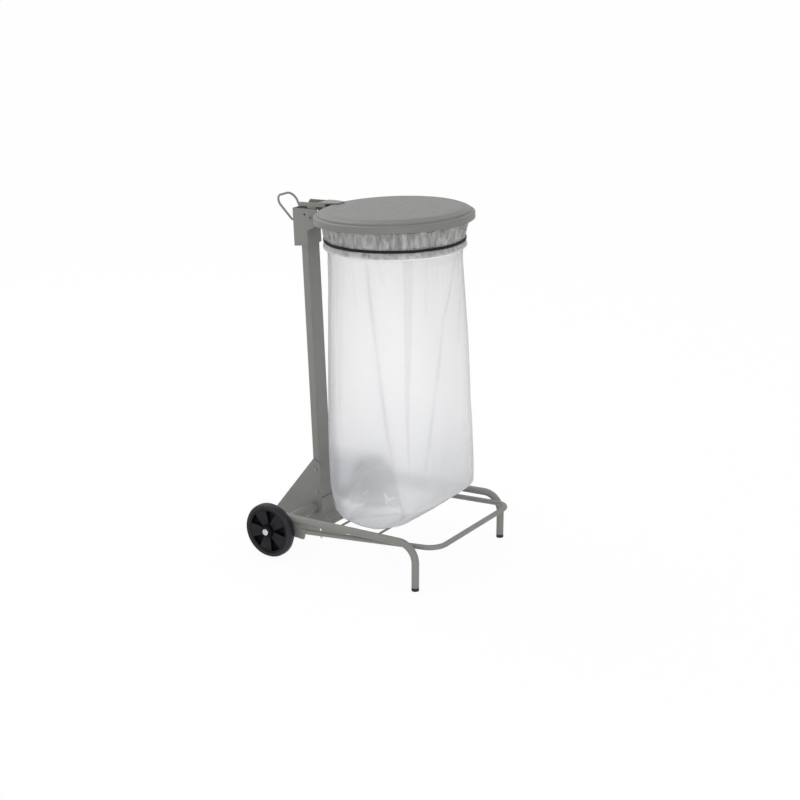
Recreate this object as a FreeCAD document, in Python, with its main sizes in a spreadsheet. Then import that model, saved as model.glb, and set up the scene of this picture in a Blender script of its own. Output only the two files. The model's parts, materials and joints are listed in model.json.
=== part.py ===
"""Wheeled bin bag holder: a leaning mast on a two-wheeled foot frame, with a bag crown and a hinged lid.

Lengths are millimetres, angles are degrees. Places are worked out from the wheel axle: X forward to the
feet, Y along the axle, Z up from the floor. The finished pieces are shifted along X by origin_shift, so
that the origin lies under the middle of the whole holder.
"""
import FreeCAD
import Part
import Sketcher
import math
import os

SIZES = {
    # Wheels and axle
    "wheel_radius": 75.0,
    "wheel_middle_y": 235.0,
    "tyre_width": 24.0,
    "tyre_shoulder": 6.0,
    "rim_radius": 63.6,
    "rim_wall": 6.0,
    "rim_width": 21.0,
    "web_thickness": 4.0,
    "hub_radius": 15.0,
    "hub_length": 31.0,
    "spoke_height": 8.0,
    "spoke_angle": 40.0,
    "spoke_root_angle": 68.0,
    "spoke_count": 5,
    "spoke_phase": 44.0,
    "axle_radius": 6.0,
    "axle_cap_radius": 9.0,
    "axle_cap_length": 9.0,
    "axle_tube_radius": 16.0,
    "axle_tube_wall": 2.0,
    "spacer_radius": 10.0,
    # Foot frame
    "leg_foot_x": 456.7,
    "leg_foot_y": 221.0,
    "leg_tube_radius": 10.0,
    "leg_tube_wall": 1.5,
    "leg_corner_height": 126.4,
    "leg_bend_radius": 50.0,
    "rail_end_x": -10.0,
    "rail_drop_angle": 1.97,
    "rail_toe_angle": 1.55,
    "foot_cap_height": 9.0,
    "foot_plug_length": 16.0,
    "ring_front_x": 504.8,
    "ring_front_y": 188.9,
    "ring_rear_y": 212.0,
    "ring_rear_z": 83.84,
    "ring_slope_angle": 4.5,
    "ring_bend_radius": 42.0,
    "ring_tube_radius": 7.0,
    "ring_tube_wall": 1.5,
    "wire_radius": 3.0,
    "rear_wire_x": 181.0,
    "front_wire_x": 313.0,
    # Side plates
    "plate_thickness": 3.0,
    "plate_middle_y": 211.5,
    "plate_rear_x": -26.0,
    "plate_front_x": 96.0,
    "plate_bottom_z": 61.0,
    "plate_front_rake": 9.0,
    "plate_corner_radius": 12.0,
    "web_end_x": 235.0,
    "web_hole_x": 151.0,
    "web_hole_radius": 3.6,
    "hem_width": 14.0,
    "hem_thickness": 2.0,
    "ring_screw_head_radius": 3.0,
    "ring_screw_head_height": 4.5,
    "ring_screw_shank_radius": 1.75,
    # Mast and its shoe
    "mast_depth": 22.0,
    "mast_width": 56.0,
    "mast_wall": 1.5,
    "mast_corner_radius": 4.0,
    "mast_length": 752.0,
    "mast_lean_angle": 2.6,
    "mast_foot_x": 12.8,
    "mast_foot_z": 95.0,
    "sheet_thickness": 3.0,
    "shoe_top_z": 220.0,
    "shoe_top_x": 1.0,
    "shoe_front_top_z": 206.0,
    "shoe_tail_x": -134.0,
    "shoe_tail_z": 47.5,
    "shoe_bottom_z": 37.0,
    "shoe_seam_z": 106.0,
    "shoe_flare_radius": 36.0,
    "tongue_end_x": 64.0,
    "upper_screw_height": 94.0,
    "lower_screw_height": 27.0,
    "screw_head_radius": 4.0,
    "screw_head_height": 2.2,
    "screw_shank_radius": 2.5,
    "screw_shank_length": 10.0,
    # Head bracket and handle, in the leaning frame of the mast; heights are above the mast's top
    "bracket_rear_x": -32.7,
    "bracket_bottom_above": -28.0,
    "bracket_bottom_rise": 4.0,
    "bracket_top_above": 75.0,
    "bracket_wall_above": 40.0,
    "bracket_corner_radius": 4.0,
    "ear_root_above": 16.0,
    "ear_bottom_above": 34.0,
    "ear_shoulder_above": 68.0,
    "ear_shoulder_x": 46.0,
    "ear_front_x": 52.0,
    "pivot_x": 27.0,
    "pivot_above": 52.0,
    "pin_radius": 4.0,
    "pin_bore_radius": 2.6,
    "pin_head_radius": 5.5,
    "pin_head_thickness": 1.2,
    "spare_hole_x": 7.4,
    "spare_hole_above": 59.2,
    "spare_hole_radius": 3.3,
    "handle_rod_radius": 3.0,
    "handle_hole_y": 26.0,
    "handle_hole_above": 43.0,
    "handle_bend_x": -38.0,
    "handle_bar_x": -80.0,
    "handle_bar_above": 105.5,
    "handle_bar_half": 45.0,
    "handle_corner_radius": 24.0,
    "handle_foot_radius": 6.0,
    # Lid and its arm, in the leaning frame of the mast; heights are above the mast's top
    "lid_forward": 0.72,
    "lid_rim_above": 59.4,
    "lid_height": 30.6,
    "lid_shoulder_width": 19.5,
    "lid_shoulder_drop": 7.5,
    "lid_wall_spread": 11.0,
    "lid_ledge_height": 19.6,
    "lid_ledge_width": 10.0,
    "lid_ledge_drop": 3.1,
    "lid_top_radius": 22.0,
    "lid_edge_radius": 4.0,
    "lid_sheet": 1.5,
    "lid_bead_radius": 2.4,
    "arm_sheet": 3.0,
    "arm_half_width": 25.0,
    "arm_floor_above": 82.0,
    "arm_floor_start_x": 15.0,
    "arm_top_above": 91.6,
    "arm_tail_x": -17.0,
    "arm_tail_rake": 7.0,
    "arm_lug_radius": 9.0,
    "arm_cover_start_x": 50.0,
    "arm_cover_overlap": 16.0,
    "arm_cover_end_half": 15.0,
    # Crown, elastic and crown arm
    "crown_forward": 90.58,
    "crown_above": 10.7,
    "crown_tilt_angle": 1.15,
    "crown_neck_radius": 182.5,
    "crown_flare": 7.5,
    "crown_bottom": -17.4,
    "crown_flare_start": 4.0,
    "crown_top": 46.0,
    "crown_sheet": 1.5,
    "crown_bead_radius": 2.9,
    "elastic_height": 7.2,
    "elastic_thickness": 3.0,
    "crown_arm_above": 36.0,
    "crown_arm_half_width": 20.0,
    "crown_arm_flange": 8.0,
    # Bag film
    "film": 1.0,
    "bag_neck_step": 3.6,
    "bag_shoulder_below": 43.3,
    # Bag levels, from its floor (0) to its shoulder (10): share of the height, place ahead of the crown's
    # middle, half sizes along X and Y, and corner radius
    "bag_0_share": 0.0,
    "bag_0_ahead": 13.0,
    "bag_0_half_x": 54.0,
    "bag_0_half_y": 160.0,
    "bag_0_corner": 50.0,
    "bag_1_share": 0.0073,
    "bag_1_ahead": 12.0,
    "bag_1_half_x": 72.0,
    "bag_1_half_y": 166.0,
    "bag_1_corner": 60.5,
    "bag_2_share": 0.02,
    "bag_2_ahead": 11.0,
    "bag_2_half_x": 93.0,
    "bag_2_half_y": 172.0,
    "bag_2_corner": 67.4,
    "bag_3_share": 0.0508,
    "bag_3_ahead": 16.0,
    "bag_3_half_x": 115.0,
    "bag_3_half_y": 180.0,
    "bag_3_corner": 75.0,
    "bag_4_share": 0.0761,
    "bag_4_ahead": 26.0,
    "bag_4_half_x": 131.0,
    "bag_4_half_y": 183.0,
    "bag_4_corner": 81.5,
    "bag_5_share": 0.0958,
    "bag_5_ahead": 30.0,
    "bag_5_half_x": 146.0,
    "bag_5_half_y": 184.0,
    "bag_5_corner": 89.6,
    "bag_6_share": 0.1421,
    "bag_6_ahead": 25.0,
    "bag_6_half_x": 154.0,
    "bag_6_half_y": 185.0,
    "bag_6_corner": 96.5,
    "bag_7_share": 0.4299,
    "bag_7_ahead": 17.0,
    "bag_7_half_x": 170.0,
    "bag_7_half_y": 186.5,
    "bag_7_corner": 137.8,
    "bag_8_share": 0.6827,
    "bag_8_ahead": 13.0,
    "bag_8_half_x": 174.0,
    "bag_8_half_y": 186.0,
    "bag_8_corner": 159.9,
    "bag_9_share": 0.9074,
    "bag_9_ahead": 6.0,
    "bag_9_half_x": 174.0,
    "bag_9_half_y": 184.0,
    "bag_9_corner": 172.5,
    "bag_10_share": 1.0,
    "bag_10_ahead": 2.0,
    "bag_10_half_x": 174.0,
    "bag_10_half_y": 181.5,
    "bag_10_corner": 172.5,
    # Clearances
    "seat_gap": 0.2,
    "loose_gap": 0.3,
    "running_gap": 0.08,
    # How far a cutting shape runs past the metal
    "overcut": 20.0,
}
BAG_LEVELS = range(11)


class Size:
    """A length that knows its number and the sheet expression that it comes from."""

    def __init__(self, number, text):
        self.number = number
        self.text = text

    @staticmethod
    def of(other):
        if isinstance(other, Size):
            return other
        return Size(float(other), f"({other})")

    def __add__(self, other):
        other = Size.of(other)
        return Size(self.number + other.number, f"({self.text} + {other.text})")

    def __sub__(self, other):
        other = Size.of(other)
        return Size(self.number - other.number, f"({self.text} - {other.text})")

    def __mul__(self, other):
        other = Size.of(other)
        return Size(self.number * other.number, f"({self.text} * {other.text})")

    def __truediv__(self, other):
        other = Size.of(other)
        return Size(self.number / other.number, f"({self.text} / {other.text})")

    def __neg__(self):
        return Size(-self.number, f"(-1 * {self.text})")

    __radd__ = __add__
    __rmul__ = __mul__

    def __rsub__(self, other):
        return Size.of(other) - self


doc = FreeCAD.newDocument("bag_holder")
sheet = doc.addObject("Spreadsheet::Sheet", "Sizes")
for row, (alias, value) in enumerate(SIZES.items(), 1):
    sheet.set(f"A{row}", alias)
    sheet.set(f"B{row}", str(value))
    sheet.setAlias(f"B{row}", alias)
doc.recompute()


class Sheet:
    """Gives each cell of the sheet as a Size, by its alias."""

    def __getattr__(self, alias):
        return Size(float(getattr(sheet, alias)), f"Sizes.{alias}")


s = Sheet()
pieces = []
SIDES = (("near", -1), ("far", 1))


class Head:
    """Heights in the mast's frame of sizes that the sheet gives above the mast's top."""

    def __getattr__(self, name):
        return s.mast_length + getattr(s, name + "_above")


head = Head()


def tangent(angle):
    """The tangent of a Size in degrees."""
    return Size(math.tan(math.radians(angle.number)), f"tan({angle.text} * 1 deg)")


def number(value):
    return value.number if isinstance(value, Size) else float(value)


def vector(x, y, z):
    return FreeCAD.Vector(number(x), number(y), number(z))


# Frames of reference

def mast_point(along_x, along_z):
    """X and Z, from the axle, of a point given in the leaning frame of the mast."""
    lean = math.radians(s.mast_lean_angle.number)
    x = s.mast_foot_x + number(along_x) * math.cos(lean) - along_z * math.sin(lean)
    z = s.mast_foot_z + number(along_x) * math.sin(lean) + along_z * math.cos(lean)
    return x, z


crown_across = s.crown_neck_radius + s.crown_forward
crown_x, crown_z = mast_point(crown_across, head.crown)
handle_rear_x = mast_point(s.handle_bar_x, head.handle_bar)[0] - s.handle_rod_radius
rear_x = min(handle_rear_x.number, s.shoe_tail_x.number, -s.wheel_radius.number)
front_x = (s.ring_front_x + s.ring_tube_radius).number
origin_shift = (rear_x + front_x) / 2


def holder_frame(x=0.0, y=0.0, z=0.0, axis=(0, 0, 1), angle=0.0):
    """A placement given from the axle, shifted so that the origin is under the holder's middle."""
    base = FreeCAD.Vector(number(x) - origin_shift, number(y), number(z))
    return FreeCAD.Placement(base, FreeCAD.Rotation(FreeCAD.Vector(*axis), number(angle)))


UPRIGHT = holder_frame()
FROM_AXLE = UPRIGHT.inverse()
MAST_FRAME = holder_frame(s.mast_foot_x, 0, s.mast_foot_z, (0, 1, 0), -s.mast_lean_angle)
CROWN_FRAME = holder_frame(crown_x, 0, crown_z, (0, 1, 0), -s.crown_tilt_angle)


def keep(piece, label, placement=UPRIGHT):
    """Name a finished piece, put it in place and list it for export."""
    piece.Label = label
    piece.Placement = placement.multiply(piece.Placement)
    pieces.append(piece)
    return piece


# Bodies made from sketches

def new_body(name):
    return doc.addObject("PartDesign::Body", name + "_body")


def plane_of(body, role):
    return next(item for item in body.Origin.OriginFeatures if item.Role == role)


def new_sketch(body, name, role, offset=0.0):
    """A sketch on one of the body's planes; on XZ_Plane a positive offset lies towards -Y."""
    sketch = body.newObject("Sketcher::SketchObject", name)
    sketch.AttachmentSupport = [(plane_of(body, role), "")]
    sketch.MapMode = "FlatFace"
    sketch.AttachmentOffset = FreeCAD.Placement(vector(0, 0, offset), FreeCAD.Rotation())
    return sketch


def pin_down(sketch, geometry, position, x, y):
    """Hold one point of a sketch at sheet-driven coordinates."""
    for kind, value in (("DistanceX", Size.of(x)), ("DistanceY", Size.of(y))):
        index = sketch.addConstraint(Sketcher.Constraint(kind, -1, 1, geometry, position, value.number))
        sketch.setExpression(f"Constraints[{index}]", value.text)


def outline(sketch, points):
    """A closed outline of straight edges; every corner is pinned to the sheet."""
    corners = [vector(x, y, 0) for x, y in points]
    count = len(corners)
    first = sketch.GeometryCount
    for index in range(count):
        sketch.addGeometry(Part.LineSegment(corners[index], corners[(index + 1) % count]), False)
    for index, (x, y) in enumerate(points):
        previous = first + (index - 1) % count
        sketch.addConstraint(Sketcher.Constraint("Coincident", previous, 2, first + index, 1))
        pin_down(sketch, first + index, 1, x, y)


def circle(sketch, x, y, radius):
    """A circle pinned to the sheet."""
    index = sketch.addGeometry(Part.Circle(vector(x, y, 0), FreeCAD.Vector(0, 0, 1), number(radius)), False)
    pin_down(sketch, index, 3, x, y)
    size = sketch.addConstraint(Sketcher.Constraint("Radius", index, number(radius)))
    sketch.setExpression(f"Constraints[{size}]", Size.of(radius).text)


def pad(body, name, sketch, length):
    """Material on both sides of the sketch plane."""
    feature = body.newObject("PartDesign::Pad", name)
    feature.Profile = sketch
    feature.Midplane = True
    feature.setExpression("Length", Size.of(length).text)
    sketch.Visibility = False
    return feature


def pocket(body, name, sketch, length):
    """A cut on both sides of the sketch plane."""
    feature = body.newObject("PartDesign::Pocket", name)
    feature.Profile = sketch
    feature.Midplane = True
    feature.setExpression("Length", Size.of(length).text)
    sketch.Visibility = False
    return feature


def revolve(body, name, sketch):
    """A full turn about the body's Z axis."""
    feature = body.newObject("PartDesign::Revolution", name)
    feature.Profile = sketch
    feature.ReferenceAxis = (plane_of(body, "Z_Axis"), [""])
    feature.Angle = 360.0
    return feature


def fillet(body, name, radius, wanted):
    """Round the edges of the body's last feature that the test picks."""
    doc.recompute()
    base = body.Tip
    names = [f"Edge{index}" for index, edge in enumerate(base.Shape.Edges, 1) if wanted(edge)]
    feature = body.newObject("PartDesign::Fillet", name)
    feature.Base = (base, names)
    feature.setExpression("Radius", Size.of(radius).text)
    return feature


def ring_edge(radius, height):
    """Picks the round edge of a turned piece at a radius and height."""
    def test(edge):
        curve = edge.Curve
        round_edge = isinstance(curve, Part.Circle) and abs(curve.Radius - number(radius)) < 0.05
        return round_edge and abs(curve.Center.z - number(height)) < 0.05
    return test


def upright_edge(x, half_width):
    """Picks the straight edges along Z at one X and at plus and minus a half width."""
    def test(edge):
        middle = edge.CenterOfMass
        straight = isinstance(edge.Curve, (Part.Line, Part.LineSegment)) and edge.BoundBox.YLength < 0.01
        return straight and abs(middle.x - number(x)) < 0.6 and abs(abs(middle.y) - number(half_width)) < 0.05
    return test


# Round bars and bent tubes

def bar(name, radius, start, end):
    """A round bar between two points given as (x, y, z)."""
    first = vector(*start)
    last = vector(*end)
    cylinder = doc.addObject("Part::Cylinder", name)
    cylinder.setExpression("Radius", Size.of(radius).text)
    cylinder.Height = (last - first).Length
    cylinder.Placement = FreeCAD.Placement(first, FreeCAD.Rotation(FreeCAD.Vector(0, 0, 1), last - first))
    return cylinder


def fuse(name, shapes):
    result = doc.addObject("Part::MultiFuse", name)
    result.Shapes = shapes
    return result


def cut(name, base, tool):
    result = doc.addObject("Part::Cut", name)
    result.Base = base
    result.Tool = tool
    return result


def compound(name, links):
    """Several like pieces that share one node."""
    result = doc.addObject("Part::Compound", name)
    result.Links = links
    return result


def bent_path(points, radii):
    """Straight runs through the points, joined by tangent arcs of the given radii."""
    edges = []
    start = points[0]
    for index in range(1, len(points) - 1):
        corner = points[index]
        back = (points[index - 1] - corner).normalize()
        ahead = (points[index + 1] - corner).normalize()
        half_turn = (math.pi - back.getAngle(ahead)) / 2
        reach = radii[index - 1] * math.tan(half_turn)
        arc_start = corner + back * reach
        arc_end = corner + ahead * reach
        bisector = (back + ahead).normalize()
        middle = corner + bisector * radii[index - 1] * (1 / math.cos(half_turn) - 1)
        edges.append(Part.LineSegment(start, arc_start).toShape())
        edges.append(Part.Arc(arc_start, middle, arc_end).toShape())
        start = arc_end
    edges.append(Part.LineSegment(start, points[-1]).toShape())
    return Part.Wire(edges)


def swept_rod(name, points, radii, radius):
    """A solid rod of a given radius along a bent path."""
    path = doc.addObject("Part::Feature", name + "_path")
    path.Shape = bent_path(points, radii)
    section = doc.addObject("Part::Circle", name + "_section")
    section.setExpression("Radius", Size.of(radius).text)
    turn = FreeCAD.Rotation(FreeCAD.Vector(0, 0, 1), points[1] - points[0])
    section.Placement = FreeCAD.Placement(points[0], turn)
    sweep = doc.addObject("Part::Sweep", name)
    sweep.Sections = [section]
    sweep.Spine = (path, [f"Edge{index + 1}" for index in range(len(path.Shape.Edges))])
    sweep.Solid = True
    sweep.Frenet = True
    return sweep


def swept_tube(name, points, radii, radius, wall):
    outside = swept_rod(name + "_outside", points, radii, radius)
    inside = swept_rod(name + "_inside", points, radii, radius - wall)
    return cut(name, outside, inside)


# Wheels

def wheel_frame(sign):
    """A wheel's own frame: its middle on the axle, its Z axis outwards."""
    return holder_frame(0, s.wheel_middle_y * sign, s.wheel_radius, (1, 0, 0), -90 * sign)


def make_tyre(side, sign):
    body = new_body(f"tyre_{side}")
    sketch = new_sketch(body, f"tyre_{side}_section", "XZ_Plane")
    half = s.tyre_width / 2
    tread_half = half - s.tyre_shoulder
    shoulder = s.wheel_radius - s.tyre_shoulder * 0.55
    seat = s.rim_radius + s.seat_gap
    bead_half = s.rim_width / 2
    outline(sketch, [(seat, -bead_half), (seat + 3, -half), (shoulder, -half), (s.wheel_radius, -tread_half),
                     (s.wheel_radius, tread_half), (shoulder, half), (seat + 3, half), (seat, bead_half)])
    revolve(body, f"tyre_{side}_turn", sketch)
    fillet(body, f"tyre_{side}_shoulders", s.tyre_shoulder * 0.5, ring_edge(s.wheel_radius, tread_half))
    fillet(body, f"tyre_{side}_shoulders_inner", s.tyre_shoulder * 0.5, ring_edge(s.wheel_radius, -tread_half))
    keep(body, f"tyre_{side}", wheel_frame(sign))


def make_wheel_hub(side, sign):
    """A moulded wheel centre: rim, web, hub and raised spokes on both faces."""
    body = new_body(f"wheel_hub_{side}")
    sketch = new_sketch(body, f"wheel_hub_{side}_section", "XZ_Plane")
    rim_half = s.rim_width / 2
    rim_inside = s.rim_radius - s.rim_wall
    web_half = s.web_thickness / 2
    bore = s.axle_radius + s.running_gap
    hub_half = s.hub_length / 2
    outline(sketch, [(bore, -hub_half), (s.hub_radius, -hub_half), (s.hub_radius, -web_half),
                     (rim_inside, -web_half), (rim_inside, -rim_half), (s.rim_radius, -rim_half),
                     (s.rim_radius, rim_half), (rim_inside, rim_half), (rim_inside - 1.5, web_half),
                     (s.hub_radius + 1.5, web_half), (s.hub_radius, hub_half), (bore, hub_half)])
    revolve(body, f"wheel_hub_{side}_turn", sketch)
    raised = new_sketch(body, f"wheel_hub_{side}_spoke_outline", "XY_Plane")
    inner = s.hub_radius - 1
    outer = rim_inside + 1
    root = inner * tangent(s.spoke_root_angle / 2)
    end = outer * math.cos(math.radians(s.spoke_angle.number / 2))
    spread = end * tangent(s.spoke_angle / 2)
    outline(raised, [(inner, -root), (end, -spread), (outer, 0), (end, spread), (inner, root)])
    spoke = pad(body, f"wheel_hub_{side}_spoke", raised, (s.spoke_height + web_half) * 2)
    doc.recompute()
    pattern = body.newObject("PartDesign::PolarPattern", f"wheel_hub_{side}_spokes")
    pattern.Originals = [spoke]
    pattern.Axis = (plane_of(body, "Z_Axis"), [""])
    pattern.Angle = 360.0
    pattern.setExpression("Occurrences", s.spoke_count.text)
    body.Tip = pattern
    turn = FreeCAD.Placement(FreeCAD.Vector(), FreeCAD.Rotation(FreeCAD.Vector(0, 0, 1), s.spoke_phase.number))
    keep(body, f"wheel_hub_{side}", wheel_frame(sign).multiply(turn))


def make_axle_end(side, sign):
    """The push-on cap outside the wheel and the spacer inside it."""
    hub_outer = s.wheel_middle_y + s.hub_length / 2
    hub_inner = s.wheel_middle_y - s.hub_length / 2
    plate_outer = s.plate_middle_y + s.plate_thickness / 2
    cap_start = hub_outer + s.loose_gap
    cap_end = cap_start + s.axle_cap_length
    shell = bar(f"axle_cap_{side}_shell", s.axle_cap_radius, (0, cap_start * sign, 0), (0, cap_end * sign, 0))
    dome = doc.addObject("Part::Fillet", f"axle_cap_{side}_dome")
    dome.Base = shell
    doc.recompute()
    rounded = [(index, 2.5, 2.5) for index, edge in enumerate(shell.Shape.Edges, 1)
               if isinstance(edge.Curve, Part.Circle)
               and abs(edge.Curve.Center.y - number(cap_end) * sign) < 0.01]
    dome.Edges = rounded
    socket_end = cap_end - 3
    socket = bar(f"axle_cap_{side}_socket", s.axle_radius + s.seat_gap / 4,
                 (0, (cap_start - 1) * sign, 0), (0, socket_end * sign, 0))
    keep(cut(f"axle_cap_{side}_cut", dome, socket), f"axle_cap_{side}", holder_frame(z=s.wheel_radius))
    start = (plate_outer + s.seat_gap) * sign
    end = (hub_inner - s.loose_gap) * sign
    ring = bar(f"wheel_spacer_{side}_ring", s.spacer_radius, (0, start, 0), (0, end, 0))
    bore = bar(f"wheel_spacer_{side}_bore", s.axle_radius + s.running_gap,
               (0, start - sign, 0), (0, end + sign, 0))
    keep(cut(f"wheel_spacer_{side}_cut", ring, bore), f"wheel_spacer_{side}", holder_frame(z=s.wheel_radius))


def make_axle():
    reach = s.wheel_middle_y + s.hub_length / 2 + s.axle_cap_length - 3.5
    keep(bar("axle_bar", s.axle_radius, (0, -reach, 0), (0, reach, 0)), "axle", holder_frame(z=s.wheel_radius))
    half = s.plate_middle_y - s.plate_thickness / 2 - s.seat_gap
    tube = bar("axle_tube_outside", s.axle_tube_radius, (0, -half, 0), (0, half, 0))
    bore = bar("axle_tube_bore", s.axle_tube_radius - s.axle_tube_wall, (0, -half - 1, 0), (0, half + 1, 0))
    keep(cut("axle_tube_cut", tube, bore), "axle_tube", holder_frame(z=s.wheel_radius))


# Foot frame

def plate_front_top():
    """X of the side plates' front edge at its top, where the ring's side bars begin."""
    return s.plate_front_x + s.plate_front_rake


def ring_rear_x():
    """Where the ring's side bars butt against the side plates."""
    return plate_front_top() + s.seat_gap + s.ring_tube_radius * tangent(s.ring_slope_angle)


def rail_height(x):
    """Height of the rail's centre line at a distance along X."""
    return s.leg_corner_height - (s.leg_foot_x - x) * tangent(s.rail_drop_angle)


def ring_height(x):
    """Height of the ring tube's centre line at a distance along X."""
    return s.ring_rear_z + (x - plate_front_top()) * tangent(s.ring_slope_angle)


def ring_half_width(x):
    """Half the distance between the ring's side bars at a distance along X."""
    share = (s.ring_front_x - x) / (s.ring_front_x - ring_rear_x())
    return s.ring_front_y + (s.ring_rear_y - s.ring_front_y) * share


def make_leg(side, sign):
    """One bent tube: a rail from the side plate to the front corner, then down to the foot."""
    rail_length = (s.leg_foot_x - s.rail_end_x).number / math.cos(math.radians(s.rail_toe_angle.number))
    drop = (s.leg_foot_x - s.rail_end_x).number * math.tan(math.radians(s.rail_drop_angle.number))
    corner = s.leg_corner_height.number
    points = [FreeCAD.Vector(0, 0, s.foot_cap_height.number), FreeCAD.Vector(0, 0, corner),
              FreeCAD.Vector(-rail_length, 0, corner - drop)]
    tube = swept_tube(f"leg_{side}_tube", points, [s.leg_bend_radius.number], s.leg_tube_radius, s.leg_tube_wall)
    place = holder_frame(s.leg_foot_x, s.leg_foot_y * sign, 0, (0, 0, 1), s.rail_toe_angle * sign)
    keep(tube, f"leg_{side}", place)
    cap = bar(f"foot_cap_{side}_sole", s.leg_tube_radius, (0, 0, 0), (0, 0, s.foot_cap_height - s.seat_gap))
    plug_radius = s.leg_tube_radius - s.leg_tube_wall - s.seat_gap
    plug = bar(f"foot_cap_{side}_plug", plug_radius, (0, 0, 1), (0, 0, s.foot_cap_height + s.foot_plug_length))
    keep(fuse(f"foot_cap_{side}_join", [cap, plug]), f"foot_cap_{side}", place)


def make_ring():
    """One tube bent to a U in a sloping plane, with a screw hole under each side bar."""
    slope = math.radians(s.ring_slope_angle.number)
    length = (s.ring_front_x - ring_rear_x()).number / math.cos(slope)
    rear_y = s.ring_rear_y.number
    front_y = s.ring_front_y.number
    points = [FreeCAD.Vector(-length, -rear_y, 0), FreeCAD.Vector(0, -front_y, 0),
              FreeCAD.Vector(0, front_y, 0), FreeCAD.Vector(-length, rear_y, 0)]
    bends = [s.ring_bend_radius.number] * 2
    place = holder_frame(s.ring_front_x, 0, ring_height(s.ring_front_x), (0, 1, 0), -s.ring_slope_angle)
    tube = swept_tube("ring_bent", points, bends, s.ring_tube_radius, s.ring_tube_wall)
    back = (s.web_hole_x - s.ring_front_x).number / math.cos(slope)
    holes = []
    for side, sign in SIDES:
        across = ring_half_width(s.web_hole_x) * sign
        depth = -s.ring_tube_radius - 1
        holes.append(bar(f"ring_hole_{side}", s.ring_screw_shank_radius + s.seat_gap,
                         (back, across, depth), (back, across, 0)))
    drilled = cut("ring_drilled", tube, fuse("ring_holes", holes))
    keep(drilled, "ring_tube", place)
    for side, sign in SIDES:
        across = ring_half_width(s.web_hole_x) * sign
        top = -(s.ring_tube_radius + s.seat_gap)
        cap = bar(f"ring_screw_{side}_head", s.ring_screw_head_radius,
                  (back, across, top - s.ring_screw_head_height), (back, across, top))
        shank = bar(f"ring_screw_{side}_shank", s.ring_screw_shank_radius,
                    (back, across, top - 1), (back, across, top + s.ring_tube_wall * 3))
        keep(fuse(f"ring_screw_{side}_join", [cap, shank]), f"ring_screw_{side}", place)


def make_cross_wire(name, x):
    """A straight wire that lies across the ring's side bars and carries the bag."""
    half = ring_half_width(x)
    height = wire_height(x)
    keep(bar(name + "_bar", s.wire_radius, (x, -half, height), (x, half, height)), name)


def wire_height(x):
    rise = (s.ring_tube_radius + s.wire_radius + s.seat_gap).number
    return ring_height(x) + rise / math.cos(math.radians(s.ring_slope_angle.number))


def make_side_plate(side, sign):
    """A plate that holds the axle, with a hemmed front edge and a web between rail and ring."""
    body = new_body(f"side_plate_{side}")
    sketch = new_sketch(body, f"side_plate_{side}_outline", "XZ_Plane")
    rail_seat = s.leg_tube_radius + s.seat_gap
    ring_seat = s.ring_tube_radius + s.seat_gap + 0.4
    front_top = plate_front_top()
    outline(sketch, [(s.plate_rear_x, s.plate_bottom_z), (s.plate_front_x, s.plate_bottom_z),
                     (front_top, ring_height(front_top) + ring_seat),
                     (s.web_end_x, ring_height(s.web_end_x) + ring_seat),
                     (s.web_end_x, rail_height(s.web_end_x) - rail_seat),
                     (s.plate_rear_x, rail_height(s.plate_rear_x) - rail_seat)])
    pad(body, f"side_plate_{side}_sheet", sketch, s.plate_thickness)
    hem = new_sketch(body, f"side_plate_{side}_hem_outline", "XZ_Plane",
                     -(s.plate_thickness + s.hem_thickness) / 2 * sign)
    hem_top_x = front_top - s.hem_width
    hem_top = ring_height(front_top) + ring_seat
    outline(hem, [(s.plate_front_x - s.hem_width, s.plate_bottom_z), (s.plate_front_x, s.plate_bottom_z),
                  (front_top, hem_top), (hem_top_x, hem_top)])
    pad(body, f"side_plate_{side}_hem", hem, s.hem_thickness)
    fillet(body, f"side_plate_{side}_corner", s.plate_corner_radius, plate_corner)
    holes = new_sketch(body, f"side_plate_{side}_holes_outline", "XZ_Plane")
    circle(holes, 0, s.wheel_radius, s.axle_radius + s.running_gap)
    hole_z = (ring_height(s.web_hole_x) + rail_height(s.web_hole_x) + s.ring_tube_radius - s.leg_tube_radius) / 2
    circle(holes, s.web_hole_x, hole_z, s.web_hole_radius)
    pocket(body, f"side_plate_{side}_holes", holes, s.plate_thickness * 4)
    keep(body, f"side_plate_{side}", holder_frame(y=s.plate_middle_y * sign))


def plate_corner(edge):
    """Picks the rear lower corner edge of a side plate."""
    middle = edge.CenterOfMass
    across = edge.BoundBox.YLength > s.plate_thickness.number / 2 and edge.BoundBox.XLength < 0.01
    return (across and abs(middle.x - s.plate_rear_x.number) < 0.01
            and abs(middle.z - s.plate_bottom_z.number) < 0.01)


# Mast and shoe

def mast_x(z):
    """X of the mast's centre line at a height."""
    return s.mast_foot_x - (z - s.mast_foot_z) * tangent(s.mast_lean_angle)


def rectangle_tube(body, name, half_x, half_y, radius, length, wall):
    """A rectangular tube with rounded corners, standing on the XY plane."""
    sketch = new_sketch(body, name + "_outline", "XY_Plane")
    outline(sketch, [(-half_x, -half_y), (half_x, -half_y), (half_x, half_y), (-half_x, half_y)])
    solid = body.newObject("PartDesign::Pad", name + "_solid")
    solid.Profile = sketch
    solid.setExpression("Length", length.text)
    fillet(body, name + "_corners", radius, upright_edge(half_x, half_y))
    fillet(body, name + "_rear_corners", radius, upright_edge(-half_x, half_y))
    inside = new_sketch(body, name + "_bore_outline", "XY_Plane")
    x = half_x - wall
    y = half_y - wall
    outline(inside, [(-x, -y), (x, -y), (x, y), (-x, y)])
    pocket(body, name + "_bore", inside, length * 3)


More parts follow.
